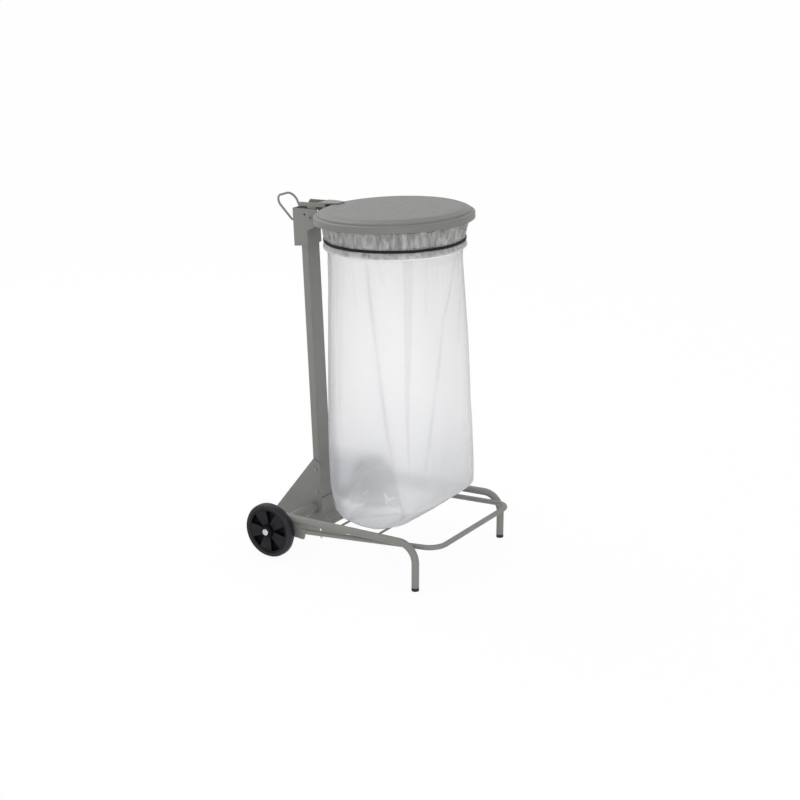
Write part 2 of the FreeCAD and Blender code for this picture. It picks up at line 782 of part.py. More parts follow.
def make_mast():
    body = new_body("mast")
    rectangle_tube(body, "mast", s.mast_depth / 2, s.mast_width / 2, s.mast_corner_radius,
                   s.mast_length, s.mast_wall)
    holes = new_sketch(body, "mast_holes_outline", "XZ_Plane")
    for height in (s.upper_screw_height, s.lower_screw_height):
        circle(holes, 0, height, s.screw_shank_radius + s.seat_gap)
    pocket(body, "mast_holes", holes, s.mast_width * 2)
    keep(body, "mast", MAST_FRAME)


def make_shoe():
    """A folded sheet round the mast's foot: two gussets, a sloping back and a flared front tongue."""
    body = new_body("mast_shoe")
    half_inside = s.mast_width / 2 + s.loose_gap
    half_outside = half_inside + s.sheet_thickness
    front_offset = s.mast_depth / 2 + s.loose_gap

    def inner_front(z):
        return mast_x(z) + front_offset

    flare_z = s.shoe_bottom_z + s.sheet_thickness + s.shoe_flare_radius
    front_top_x = inner_front(s.shoe_front_top_z) + s.sheet_thickness
    profile = new_sketch(body, "mast_shoe_outline", "XZ_Plane")
    outer_flare = [(s.tongue_end_x - s.shoe_flare_radius * math.cos(math.radians(turn)),
                    flare_z - s.shoe_flare_radius * math.sin(math.radians(turn)))
                   for turn in (0, 18, 36, 54, 72, 90)]
    outline(profile, [(s.shoe_tail_x, s.shoe_bottom_z), (s.tongue_end_x, s.shoe_bottom_z)]
            + outer_flare[::-1]
            + [(front_top_x, s.shoe_front_top_z), (s.shoe_top_x, s.shoe_top_z), (s.shoe_tail_x, s.shoe_tail_z)])
    pad(body, "mast_shoe_block", profile, half_outside * 2)
    inner_radius = s.shoe_flare_radius + s.sheet_thickness
    inner_flare = [(s.tongue_end_x - inner_radius * math.cos(math.radians(turn)),
                    flare_z - inner_radius * math.sin(math.radians(turn)))
                   for turn in (0, 18, 36, 54, 72)]
    slope = math.atan2((s.shoe_top_z - s.shoe_tail_z).number, (s.shoe_top_x - s.shoe_tail_x).number)
    back_shift = s.sheet_thickness / math.sin(slope)
    above = s.shoe_top_z + 30
    run = (s.shoe_top_x - s.shoe_tail_x) / (s.shoe_top_z - s.shoe_tail_z)
    below = s.shoe_bottom_z - 30
    lean = tangent(s.mast_lean_angle)
    rear_face = s.mast_foot_x + s.mast_foot_z * lean - front_offset
    meet_z = (rear_face - s.shoe_tail_x - back_shift + run * s.shoe_tail_z) / (run + lean)
    hollow = new_sketch(body, "mast_shoe_hollow_outline", "XZ_Plane")
    outline(hollow, [(s.shoe_tail_x + back_shift, below),
                     (s.tongue_end_x - 3, below), (s.tongue_end_x - 3, s.shoe_bottom_z)]
            + inner_flare[::-1]
            + [(inner_front(s.shoe_seam_z), s.shoe_seam_z), (s.tongue_end_x, s.shoe_seam_z),
               (s.tongue_end_x, above), (rear_face - above * lean, above), (rear_face - meet_z * lean, meet_z),
               (s.shoe_tail_x + back_shift, s.shoe_tail_z)])
    pocket(body, "mast_shoe_hollow", hollow, half_inside * 2)
    holes = new_sketch(body, "mast_shoe_holes_outline", "XZ_Plane")
    circle(holes, 0, s.wheel_radius, s.axle_tube_radius + s.seat_gap)
    for height in (s.upper_screw_height, s.lower_screw_height):
        x, z = mast_point(0, height)
        circle(holes, x, z, s.screw_shank_radius + s.seat_gap)
    pocket(body, "mast_shoe_holes", holes, half_outside * 3)
    keep(body, "mast_shoe")


def make_shoe_screws():
    face = s.mast_width / 2 + s.loose_gap + s.sheet_thickness + s.seat_gap
    screws = []
    for level, height in (("upper", s.upper_screw_height), ("lower", s.lower_screw_height)):
        for side, sign in SIDES:
            cap = bar(f"shoe_screw_{level}_{side}_head", s.screw_head_radius,
                      (0, face * sign, height), (0, (face + s.screw_head_height) * sign, height))
            shank = bar(f"shoe_screw_{level}_{side}_shank", s.screw_shank_radius,
                        (0, (face + 1) * sign, height), (0, (face - s.screw_shank_length) * sign, height))
            screws.append(fuse(f"shoe_screw_{level}_{side}", [cap, shank]))
    keep(compound("shoe_screw_set", screws), "shoe_screws", MAST_FRAME)


# Head bracket, handle and hinge

def make_bracket():
    """A folded box round the mast's top, with two ears that reach forward to the hinge pin."""
    body = new_body("head_bracket")
    half_inside = s.mast_width / 2 + s.loose_gap
    half_outside = half_inside + s.sheet_thickness
    front_inside = s.mast_depth / 2 + s.loose_gap
    front_outside = front_inside + s.sheet_thickness
    sides = new_sketch(body, "head_bracket_outline", "XZ_Plane")
    outline(sides, [(s.bracket_rear_x, head.bracket_bottom),
                    (front_outside, head.bracket_bottom + s.bracket_bottom_rise),
                    (front_outside, head.ear_root), (s.ear_front_x, head.ear_bottom),
                    (s.ear_front_x, head.ear_shoulder), (s.ear_shoulder_x, head.bracket_top),
                    (s.bracket_rear_x, head.bracket_top)])
    pad(body, "head_bracket_block", sides, half_outside * 2)
    fillet(body, "head_bracket_rear_bends", s.bracket_corner_radius, upright_edge(s.bracket_rear_x, half_outside))
    hollow = new_sketch(body, "head_bracket_hollow_outline", "XZ_Plane")
    rear_inside = s.bracket_rear_x + s.sheet_thickness
    below = head.bracket_bottom - s.overcut
    above = head.bracket_top + s.overcut
    ahead = s.ear_front_x + s.overcut
    outline(hollow, [(rear_inside, below), (front_inside, below), (front_inside, head.bracket_wall),
                     (front_outside, head.bracket_wall), (front_outside, below), (ahead, below),
                     (ahead, above), (rear_inside, above)])
    pocket(body, "head_bracket_hollow", hollow, half_inside * 2)
    holes = new_sketch(body, "head_bracket_pin_holes_outline", "XZ_Plane")
    circle(holes, s.pivot_x, head.pivot, s.pin_radius + s.running_gap)
    circle(holes, s.spare_hole_x, head.spare_hole, s.spare_hole_radius)
    pocket(body, "head_bracket_pin_holes", holes, half_outside * 3)
    rods = new_sketch(body, "head_bracket_rod_holes_outline", "YZ_Plane", s.bracket_rear_x)
    for sign in (-1, 1):
        circle(rods, s.handle_hole_y * sign, head.handle_hole, s.handle_rod_radius + s.seat_gap)
    pocket(body, "head_bracket_rod_holes", rods, s.sheet_thickness * 4)
    keep(body, "head_bracket", MAST_FRAME)


def make_handle():
    """A bent rod whose ends pass through the back of the head bracket."""
    start_x = s.bracket_rear_x + s.sheet_thickness + 2
    near_side = [vector(start_x, -s.handle_hole_y, head.handle_hole),
                 vector(s.handle_bend_x, -s.handle_hole_y, head.handle_hole),
                 vector(s.handle_bar_x, -s.handle_bar_half, head.handle_bar)]
    far_side = [FreeCAD.Vector(point.x, -point.y, point.z) for point in reversed(near_side)]
    radii = [s.handle_foot_radius.number, s.handle_corner_radius.number]
    rod = swept_rod("handle_rod", near_side + far_side, radii + radii[::-1], s.handle_rod_radius)
    keep(rod, "handle", MAST_FRAME)


def make_hinge():
    face = s.mast_width / 2 + s.loose_gap + s.sheet_thickness + s.seat_gap
    end = face + s.pin_head_thickness
    x = s.pivot_x
    z = head.pivot
    shank = bar("hinge_pin_shank", s.pin_radius, (x, -face - 1, z), (x, face + 1, z))
    heads = [bar(f"hinge_pin_head_{side}", s.pin_head_radius, (x, face * sign, z), (x, end * sign, z))
             for side, sign in SIDES]
    bore = bar("hinge_pin_bore", s.pin_bore_radius, (x, -end - 1, z), (x, end + 1, z))
    keep(cut("hinge_pin_cut", fuse("hinge_pin_join", [shank] + heads), bore), "hinge_pin", MAST_FRAME)
    washers = []
    inner = s.arm_half_width + s.loose_gap
    outer = s.mast_width / 2
    for side, sign in SIDES:
        disc = bar(f"hinge_washer_{side}_disc", s.pin_radius * 1.9, (x, inner * sign, z), (x, outer * sign, z))
        hole = bar(f"hinge_washer_{side}_hole", s.pin_radius + s.running_gap,
                   (x, (inner - 1) * sign, z), (x, (outer + 1) * sign, z))
        washers.append(cut(f"hinge_washer_{side}", disc, hole))
    keep(compound("hinge_washer_pair", washers), "hinge_washers", MAST_FRAME)


# Lid

lid_middle_x = crown_across + s.lid_forward
lid_wall = s.crown_neck_radius + s.crown_flare + s.lid_wall_spread


def make_lid():
    """A pressed steel lid: flat top, sloping shoulder, low wall, ledge and a brim with a rolled rim."""
    body = new_body("lid")
    section = new_sketch(body, "lid_section", "XZ_Plane")
    t = s.lid_sheet
    top = s.lid_height
    flat = lid_wall - s.lid_shoulder_width
    brim = lid_wall + s.lid_ledge_width
    edge = top - s.lid_shoulder_drop
    ledge = s.lid_ledge_height
    corner = ledge - s.lid_ledge_drop
    outline(section, [(0, top - t), (flat - t / 4, top - t), (lid_wall - t, edge - t * 0.7),
                      (lid_wall - t, ledge - t), (brim - t, corner - t), (brim - t, 0), (brim, 0),
                      (brim, corner), (lid_wall, ledge), (lid_wall, edge), (flat, top), (0, top)])
    revolve(body, "lid_turn", section)
    fillet(body, "lid_shoulder", s.lid_top_radius, ring_edge(flat, top))
    fillet(body, "lid_edge", s.lid_edge_radius, ring_edge(lid_wall, edge))
    fillet(body, "lid_brim_edge", s.lid_bead_radius * 1.6, ring_edge(brim, corner))
    bead = new_sketch(body, "lid_bead_section", "XZ_Plane")
    circle(bead, brim - s.lid_bead_radius, s.lid_bead_radius * 0.8, s.lid_bead_radius)
    revolve(body, "lid_rolled_rim", bead)
    place = MAST_FRAME.multiply(FreeCAD.Placement(vector(lid_middle_x, 0, head.lid_rim), FreeCAD.Rotation()))
    keep(body, "lid", place)


def make_lid_arm():
    """A channel behind the lid: side plates that drop to the hinge pin, a floor, and a cover on the lid's top."""
    body = new_body("lid_arm")
    side = new_sketch(body, "lid_arm_outline", "XZ_Plane")
    floor = head.arm_floor
    top = head.arm_top
    pivot = head.pivot
    front = lid_middle_x - lid_wall - s.seat_gap
    cover = head.lid_rim + s.lid_height + s.seat_gap
    cover_top = cover + s.arm_sheet
    tip = lid_middle_x - lid_wall + s.lid_shoulder_width + s.arm_cover_overlap
    lug = s.arm_lug_radius
    slant = lug * 0.7071
    outline(side, [(s.arm_tail_x, floor), (s.pivot_x - lug * 1.5, floor - 1),
                   (s.pivot_x - lug, pivot + 4), (s.pivot_x - lug, pivot),
                   (s.pivot_x - slant, pivot - slant), (s.pivot_x, pivot - lug),
                   (s.pivot_x + slant, pivot - slant), (s.pivot_x + lug, pivot),
                   (s.pivot_x + lug * 1.6, floor - 1), (front, floor - 1), (front, cover),
                   (tip, cover), (tip, cover_top), (s.arm_cover_start_x, cover_top),
                   (s.arm_cover_start_x - s.arm_sheet, top), (s.arm_tail_x + s.arm_tail_rake, top)])
    pad(body, "lid_arm_block", side, s.arm_half_width * 2)
    inside = (s.arm_half_width - s.arm_sheet) * 2
    behind = s.arm_tail_x - s.overcut
    channel = new_sketch(body, "lid_arm_channel_outline", "XZ_Plane")
    outline(channel, [(behind, floor + s.arm_sheet), (front + s.overcut, floor + s.arm_sheet),
                      (front + s.overcut, cover), (s.arm_cover_start_x, cover),
                      (s.arm_cover_start_x, cover_top + s.overcut), (behind, cover_top + s.overcut)])
    pocket(body, "lid_arm_channel", channel, inside)
    fork = new_sketch(body, "lid_arm_fork_outline", "XZ_Plane")
    below = pivot - lug - s.overcut
    outline(fork, [(behind, below), (front + s.overcut, below), (front + s.overcut, floor),
                   (s.arm_floor_start_x, floor), (s.arm_floor_start_x, floor + s.arm_sheet + 1),
                   (behind, floor + s.arm_sheet + 1)])
    pocket(body, "lid_arm_fork", fork, inside)
    bore = new_sketch(body, "lid_arm_bore_outline", "XZ_Plane")
    circle(bore, s.pivot_x, pivot, s.pin_radius + s.running_gap)
    pocket(body, "lid_arm_bore", bore, s.arm_half_width * 4)
    corners = new_sketch(body, "lid_arm_cover_corners", "XY_Plane", cover + s.arm_sheet / 2)
    for sign in (-1, 1):
        outline(corners, [(front, s.arm_half_width * sign), (tip + 1, s.arm_cover_end_half * sign),
                          (tip + 1, (s.arm_half_width + 1) * sign), (front, (s.arm_half_width + 1) * sign)])
    pocket(body, "lid_arm_cover_taper", corners, s.arm_sheet + s.seat_gap)
    keep(body, "lid_arm", MAST_FRAME)


# Crown, elastic and bag

def make_crown():
    """A turned steel band with a flared mouth and a rolled bead at each rim."""
    body = new_body("bag_crown")
    section = new_sketch(body, "bag_crown_section", "XZ_Plane")
    t = s.crown_sheet
    neck = s.crown_neck_radius
    mouth = neck + s.crown_flare
    outline(section, [(neck - t, s.crown_bottom), (neck, s.crown_bottom), (neck, s.crown_flare_start),
                      (mouth, s.crown_top), (mouth - t, s.crown_top), (neck - t, s.crown_flare_start)])
    revolve(body, "bag_crown_turn", section)
    for level, radius, height in (("lower", neck + 0.5, s.crown_bottom), ("upper", mouth - 1.2, s.crown_top)):
        bead = new_sketch(body, f"bag_crown_{level}_bead_section", "XZ_Plane")
        circle(bead, radius, height, s.crown_bead_radius)
        revolve(body, f"bag_crown_{level}_bead", bead)
    keep(body, "bag_crown", CROWN_FRAME)


def film_seat():
    """Radius of the film's outside where the elastic grips it."""
    return s.crown_neck_radius + 0.6 + s.film


def make_elastic():
    body = new_body("elastic_strap")
    section = new_sketch(body, "elastic_strap_section", "XZ_Plane")
    inner = film_seat() + s.loose_gap
    outer = inner + s.elastic_thickness
    half = s.elastic_height / 2
    outline(section, [(inner, -half), (outer - 1, -half), (outer, 1 - half), (outer, half - 1),
                      (outer - 1, half), (inner, half)])
    revolve(body, "elastic_strap_turn", section)
    keep(body, "elastic_strap", CROWN_FRAME)


def make_crown_arm():
    """A channel from the bracket's front wall to the back of the crown."""
    body = new_body("crown_arm")
    wall = s.mast_depth / 2 + s.loose_gap + s.sheet_thickness + s.seat_gap
    t = s.sheet_thickness
    reach = crown_across - s.crown_neck_radius + s.overcut
    under = head.crown_arm
    low = under - s.crown_arm_flange
    profile = new_sketch(body, "crown_arm_outline", "XZ_Plane")
    outline(profile, [(wall, low), (reach, low), (reach, under + t), (wall, under + t)])
    pad(body, "crown_arm_block", profile, s.crown_arm_half_width * 2)
    hollow = new_sketch(body, "crown_arm_hollow_outline", "XZ_Plane")
    outline(hollow, [(wall + t, low - s.overcut), (reach + s.overcut, low - s.overcut),
                     (reach + s.overcut, under), (wall + t, under)])
    pocket(body, "crown_arm_hollow", hollow, (s.crown_arm_half_width - t) * 2)
    body.Placement = MAST_FRAME
    tool = doc.addObject("Part::Cylinder", "crown_arm_end_tool")
    tool.setExpression("Radius", crown_radius(arm_in_crown(under + t)).text)
    tool.setExpression("Height", (s.crown_top * 2).text)
    tool.Placement = CROWN_FRAME.multiply(FreeCAD.Placement(vector(0, 0, -s.crown_top), FreeCAD.Rotation()))
    keep(cut("crown_arm_cut", body, tool), "crown_arm", FreeCAD.Placement())


def arm_in_crown(height):
    """Height in the crown's frame, at the back of the crown, of a height in the mast's frame."""
    point = MAST_FRAME.multVec(vector(s.crown_forward, 0, height))
    return CROWN_FRAME.inverse().multVec(point).z


def crown_radius(height):
    """Radius of the arm's end, just clear of the crown's flared wall at a height in the crown's frame."""
    flare = s.crown_flare / (s.crown_top - s.crown_flare_start)
    return s.crown_neck_radius + flare * (height - s.crown_flare_start) + s.loose_gap


def rounded_rectangle(half_x, half_y, radius, placement):
    """A closed wire of four sides and four corner arcs."""
    x = half_x
    y = half_y
    r = radius
    lean = r * (1 - math.sqrt(0.5))
    corners = [((x, -y + r), (x, y - r), (x - lean, y - lean), (x - r, y)),
               ((x - r, y), (-x + r, y), (-x + lean, y - lean), (-x, y - r)),
               ((-x, y - r), (-x, -y + r), (-x + lean, -y + lean), (-x + r, -y)),
               ((-x + r, -y), (x - r, -y), (x - lean, -y + lean), (x, -y + r))]
    edges = []
    for start, end, middle, finish in corners:
        start, end, middle, finish = (FreeCAD.Vector(*point, 0) for point in (start, end, middle, finish))
        edges.append(Part.LineSegment(start, end).toShape())
        edges.append(Part.Arc(end, middle, finish).toShape())
    wire = Part.Wire(edges)
    wire.Placement = placement
    return wire


def bag_sections(inset):
    """The bag's section wires from its floor to its mouth, made smaller by an inset."""
    middle = crown_x.number
    floor = (wire_height(s.front_wire_x) + s.wire_radius + s.loose_gap).number
    height = (crown_z - s.bag_shoulder_below).number - floor
    wires = []
    for index in BAG_LEVELS:
        share, ahead, half_x, half_y, corner = (
            getattr(s, f"bag_{index}_{word}").number for word in ("share", "ahead", "half_x", "half_y", "corner"))
        place = FreeCAD.Vector(middle + ahead, 0, floor + height * share + inset)
        wires.append(rounded_rectangle(half_x - inset, half_y - inset, corner - inset,
                                       FreeCAD.Placement(place, FreeCAD.Rotation())))
    neck = (s.crown_neck_radius - s.bag_neck_step).number - inset
    under_crown = s.crown_bottom.number - s.crown_bead_radius.number * 2
    over_crown = s.crown_top.number + s.crown_bead_radius.number * 2
    for level in (under_crown, over_crown):
        place = FROM_AXLE.multiply(CROWN_FRAME).multiply(
            FreeCAD.Placement(FreeCAD.Vector(0, 0, level), FreeCAD.Rotation()))
        wires.append(rounded_rectangle(neck, neck, neck - 1.5, place))
    return wires


def bag_cuff():
    """The bag's mouth, folded out over the crown's rim and down past the elastic, notched for the arm."""
    film = s.film.number
    gap = s.loose_gap.number
    bead = s.crown_bead_radius.number
    top = s.crown_top.number
    bottom = s.crown_bottom.number
    inside = top + bead + gap
    mouth = (s.crown_neck_radius + s.crown_flare).number - 1.2 + bead + gap
    neck = s.crown_neck_radius.number + 0.6
    hem = neck + bead + gap
    grip = s.elastic_height.number / 2 + gap
    lining = (s.crown_neck_radius - s.bag_neck_step).number - film * 0.6
    flare = s.crown_flare_start.number + 1
    section = [(lining, inside), (lining, inside + film), (mouth + film, inside + film), (mouth + film, top),
               (neck + film + 0.8, flare + 0.4), (neck + film, grip), (neck + film, -grip),
               (hem + film, bottom + 4), (hem + film, bottom - bead), (hem, bottom - bead), (hem, bottom + 4),
               (neck, -grip), (neck, flare), (mouth, top), (mouth, inside)]
    points = [FreeCAD.Vector(radius, 0, height) for radius, height in section]
    cuff = Part.Face(Part.makePolygon(points + points[:1])).revolve(
        FreeCAD.Vector(), FreeCAD.Vector(0, 0, 1), 360)
    depth = s.overcut.number
    half = s.crown_arm_half_width.number + film * 3
    low = arm_in_crown(head.crown_arm - s.crown_arm_flange) - gap * 2
    high = arm_in_crown(head.crown_arm + s.sheet_thickness) + film * 3
    cuff = cuff.cut(Part.makeBox(depth, half * 2, high - low, FreeCAD.Vector(-neck - depth, -half, low)))
    cuff.Placement = FROM_AXLE.multiply(CROWN_FRAME)
    return cuff


def make_bag():
    """The film bag: an open sack inside the crown with a folded mouth."""
    sack = Part.makeLoft(bag_sections(0), True, True)
    space = Part.makeLoft(bag_sections(s.film.number * 1.2), True, True)
    # The mouth stays open: the inner space runs up past the cuff's top.
    bag = doc.addObject("Part::Feature", "bag_film")
    bag.Shape = sack.fuse(bag_cuff()).cut(space)
    keep(bag, "bag")


for side, sign in SIDES:
    make_tyre(side, sign)
    make_wheel_hub(side, sign)
    make_axle_end(side, sign)
    make_leg(side, sign)
    make_side_plate(side, sign)
make_axle()
make_ring()
make_cross_wire("rear_cross_wire", s.rear_wire_x)
make_cross_wire("front_cross_wire", s.front_wire_x)
make_mast()
make_shoe()
make_shoe_screws()
make_bracket()
make_handle()
make_hinge()
make_lid()
make_lid_arm()
make_crown()
make_elastic()
make_crown_arm()
make_bag()
doc.recompute()

for item in doc.Objects:
    if "Invalid" in item.State or "Error" in item.State:
        raise RuntimeError(f"{item.Name} failed: {item.State}")
for piece in pieces:
    if piece.Shape.isNull() or not piece.Shape.isValid():
        raise RuntimeError(f"{piece.Label} has no valid shape")

os.makedirs("parts", exist_ok=True)
for piece in pieces:
    piece.Shape.exportStep(f"parts/{piece.Label}.step")
    print(f"{piece.Label}: {len(piece.Shape.Solids)} solids, {piece.Shape.Volume / 1000:.1f} cm3")
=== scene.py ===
import json
import math
import bpy
import numpy as np
from mathutils import Matrix, Vector, noise


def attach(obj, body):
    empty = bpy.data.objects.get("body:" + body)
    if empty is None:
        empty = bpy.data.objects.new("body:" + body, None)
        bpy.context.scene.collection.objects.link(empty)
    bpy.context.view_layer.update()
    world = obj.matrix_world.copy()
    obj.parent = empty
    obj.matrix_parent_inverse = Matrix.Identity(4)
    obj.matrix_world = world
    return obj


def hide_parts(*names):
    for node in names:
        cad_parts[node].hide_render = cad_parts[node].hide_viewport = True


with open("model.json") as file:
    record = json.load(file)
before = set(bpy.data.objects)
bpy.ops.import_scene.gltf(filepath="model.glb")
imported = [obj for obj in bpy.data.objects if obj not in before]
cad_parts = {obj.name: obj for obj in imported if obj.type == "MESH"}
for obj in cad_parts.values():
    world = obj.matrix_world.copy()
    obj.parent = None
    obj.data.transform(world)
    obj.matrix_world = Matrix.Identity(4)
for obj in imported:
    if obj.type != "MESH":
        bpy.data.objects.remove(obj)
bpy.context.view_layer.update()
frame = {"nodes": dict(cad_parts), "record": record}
nodes = frame["nodes"]

# Places in metres, in the row frame

AXLE_X = -0.1889
CROWN_CENTRE = Vector((0.0621, 0.0, 0.8693))
CROWN_TILT = math.radians(-1.15)
CROWN = Matrix.Translation(CROWN_CENTRE) @ Matrix.Rotation(CROWN_TILT, 4, "Y")


# Shader helpers

# The part of its range that a noise mostly fills, and where a tint's two colours sit in it
NOISE_SPAN = (0.3, 0.7)
TINT_STOPS = (0.35, 0.65)


def shader(name):
    """A new node material with its tree and its Principled shader."""
    material = bpy.data.materials.new(name)
    material.use_nodes = True
    return material, material.node_tree, material.node_tree.nodes["Principled BSDF"]


def add(tree, kind, **inputs):
    """A node with some of its input sockets set."""
    node = tree.nodes.new(kind)
    for key, value in inputs.items():
        node.inputs[key.replace("_", " ")].default_value = value
    return node


def object_noise(tree, scale, detail=3.0, stretch=(1.0, 1.0, 1.0), turn=(0.0, 0.0, 0.0)):
    """Noise in object coordinates, which are metres."""
    coordinates = tree.nodes.new("ShaderNodeTexCoord")
    mapping = add(tree, "ShaderNodeMapping", Scale=stretch, Rotation=turn)
    texture = add(tree, "ShaderNodeTexNoise", Scale=scale, Detail=detail)
    tree.links.new(coordinates.outputs["Object"], mapping.inputs["Vector"])
    tree.links.new(mapping.outputs["Vector"], texture.inputs["Vector"])
    return texture.outputs["Fac"]


def mesh_value(tree, name):
    """A value that the mesh holds for each of its vertices."""
    reader = tree.nodes.new("ShaderNodeAttribute")
    reader.attribute_name = name
    return reader.outputs["Fac"]


def spread(tree, value, span, result):
    """A value that runs over a span, made to run over a result."""
    node = add(tree, "ShaderNodeMapRange", From_Min=span[0], From_Max=span[1],
               To_Min=result[0], To_Max=result[1])
    tree.links.new(value, node.inputs["Value"])
    return node.outputs["Result"]


def calculate(tree, operation, first, second, clamp=False):
    """The result of a math node on two values."""
    node = tree.nodes.new("ShaderNodeMath")
    node.operation = operation
    node.use_clamp = clamp
    tree.links.new(first, node.inputs[0])
    tree.links.new(second, node.inputs[1])
    return node.outputs["Value"]


def vary(tree, texture, socket, low, high):
    """Run a socket between two values with a noise."""
    tree.links.new(spread(tree, texture, NOISE_SPAN, (low, high)), socket)


def tint(tree, texture, socket, first, second):
    """Run a colour socket between two colours with a noise."""
    colours = tree.nodes.new("ShaderNodeValToRGB")
    for stop, position, colour in zip(colours.color_ramp.elements, TINT_STOPS, (first, second)):
        stop.position = position
        stop.color = (*colour, 1.0)
    tree.links.new(texture, colours.inputs["Fac"])
    tree.links.new(colours.outputs["Color"], socket)


def shade_by(tree, value, socket, light, dark):
    """Run a colour socket from a light to a dark colour with a value."""
    blend = tree.nodes.new("ShaderNodeMix")
    blend.data_type = "RGBA"
    blend.inputs["A"].default_value = (*light, 1.0)
    blend.inputs["B"].default_value = (*dark, 1.0)
    tree.links.new(value, blend.inputs["Factor"])
    tree.links.new(blend.outputs["Result"], socket)


def bump(tree, texture, principled, strength, distance):
    """Give a shader the relief of a noise."""
    node = add(tree, "ShaderNodeBump", Strength=strength, Distance=distance)
    tree.links.new(texture, node.inputs["Height"])
    tree.links.new(node.outputs["Normal"], principled.inputs["Normal"])


# Paint, metal, plastic and elastic

def make_paint(name, depth):
    """Satin warm grey powder coat with a fine orange peel."""
    material, tree, principled = shader(name)
    tint(tree, object_noise(tree, 14.0), principled.inputs["Base Color"],
         (depth, depth, depth * 0.945), (depth * 1.06, depth * 1.06, depth))
    vary(tree, object_noise(tree, 60.0), principled.inputs["Roughness"], 0.42, 0.5)
    principled.inputs["Specular IOR Level"].default_value = 0.4
    bump(tree, object_noise(tree, 1300.0, 2.0), principled, 0.12, 0.0002)
    return material


def make_zinc(name, shade):
    """Zinc plate with faint turning marks."""
    material, tree, principled = shader(name)
    tint(tree, object_noise(tree, 180.0), principled.inputs["Base Color"],
         (shade, shade, shade * 0.97), (shade * 1.25, shade * 1.25, shade * 1.22))
    principled.inputs["Metallic"].default_value = 1.0
    vary(tree, object_noise(tree, 400.0), principled.inputs["Roughness"], 0.25, 0.42)
    bump(tree, object_noise(tree, 900.0, 2.0, (1.0, 8.0, 1.0)), principled, 0.1, 0.0001)
    return material


def make_plastic(name, dark, light, smoothest, roughest, grain):
    """Moulded black plastic or rubber with a fine grain."""
    material, tree, principled = shader(name)
    tint(tree, object_noise(tree, 40.0), principled.inputs["Base Color"], dark, light)
    vary(tree, object_noise(tree, 90.0), principled.inputs["Roughness"], smoothest, roughest)
    principled.inputs["Specular IOR Level"].default_value = 0.3
    bump(tree, object_noise(tree, 1500.0, 2.0), principled, grain, 0.0002)
    return material


def make_hub_plastic():
    """The wheel centre's black plastic, with painted shade: less shine in its recesses, where ambient
    occlusion finds them.
    """
    material = make_plastic("black_wheel_plastic", (0.003, 0.003, 0.005), (0.006, 0.006, 0.008),
                            0.42, 0.52, 0.1)
    tree = material.node_tree
    # Painted shade: the shine drops where ambient occlusion finds a recess
    openness = add(tree, "ShaderNodeAmbientOcclusion", Distance=0.03)
    recess_shaded_shine = spread(tree, openness.outputs["AO"], (0.7, 0.98), (0.02, 0.22))
    tree.links.new(recess_shaded_shine, tree.nodes["Principled BSDF"].inputs["Specular IOR Level"])
    return material


def make_elastic():
    """Black elastic strap with a fine rib along its length."""
    material, tree, principled = shader("black_elastic")
    tint(tree, object_noise(tree, 700.0), principled.inputs["Base Color"],
         (0.004, 0.004, 0.005), (0.012, 0.012, 0.013))
    principled.inputs["Roughness"].default_value = 0.75
    principled.inputs["Specular IOR Level"].default_value = 0.25
    bump(tree, object_noise(tree, 900.0, 2.0, (1.0, 1.0, 3.0)), principled, 0.5, 0.0006)
    return material


# Film

def make_film(name, grey, grain, wrinkle):
    """Frosted film: a white body that glows through, over a softly blurred view of what is behind.

    With the material come its tree, the node that mixes body over view, the glow and the view.
    """
    material, tree, principled = shader(name)
    tint(tree, object_noise(tree, 9.0), principled.inputs["Base Color"],
         (grey, grey, grey * 1.005), (grey + 0.04, grey + 0.04, grey + 0.042))
    vary(tree, object_noise(tree, 30.0), principled.inputs["Roughness"], 0.26, 0.36)
    principled.inputs["IOR"].default_value = 1.48
    principled.inputs["Specular IOR Level"].default_value = 0.5
    bump(tree, object_noise(tree, grain, 4.0, (1.0, 1.0, 0.3)), principled, wrinkle, 0.002)
    glow = add(tree, "ShaderNodeBsdfTranslucent", Color=(0.97, 0.975, 0.985, 1.0))
    view = add(tree, "ShaderNodeBsdfRefraction", Color=(0.985, 0.987, 0.99, 1.0), Roughness=0.8, IOR=1.045)
    body = add(tree, "ShaderNodeMixShader", Fac=0.55)
    cover = tree.nodes.new("ShaderNodeMixShader")
    tree.links.new(principled.outputs["BSDF"], body.inputs[1])
    tree.links.new(glow.outputs["BSDF"], body.inputs[2])
    tree.links.new(view.outputs["BSDF"], cover.inputs[1])
    tree.links.new(body.outputs["Shader"], cover.inputs[2])
    tree.links.new(cover.outputs["Shader"], tree.nodes["Material Output"].inputs["Surface"])
    return material, tree, cover, glow, view


def make_sack_film():
    """The sack's film: clearer at its back, greyer and bluish with painted shade and where its pleat
    doubles it, lighter along painted highlights.
    """
    material, tree, cover, glow, view = make_film("frosted_film", 0.9, 60.0, 0.08)
    coordinates = tree.nodes.new("ShaderNodeTexCoord")
    axes = tree.nodes.new("ShaderNodeSeparateXYZ")
    tree.links.new(coordinates.outputs["Object"], axes.inputs["Vector"])
    tree.links.new(spread(tree, axes.outputs["X"], (0.02, 0.17), (0.42, 0.66)), cover.inputs["Fac"])
    # The mesh's value is painted shade in creases, low down, on the near lower panel and on the floor, less
    # along painted highlights, plus the doubled film of the pleat
    painted_shade_and_doubling = mesh_value(tree, "painted_shade_and_doubling")
    shade_by(tree, painted_shade_and_doubling, glow.inputs["Color"], (0.985, 0.985, 0.99), (0.56, 0.57, 0.60))
    shade_by(tree, painted_shade_and_doubling, view.inputs["Color"], (0.992, 0.992, 0.996), (0.63, 0.64, 0.67))
    return material


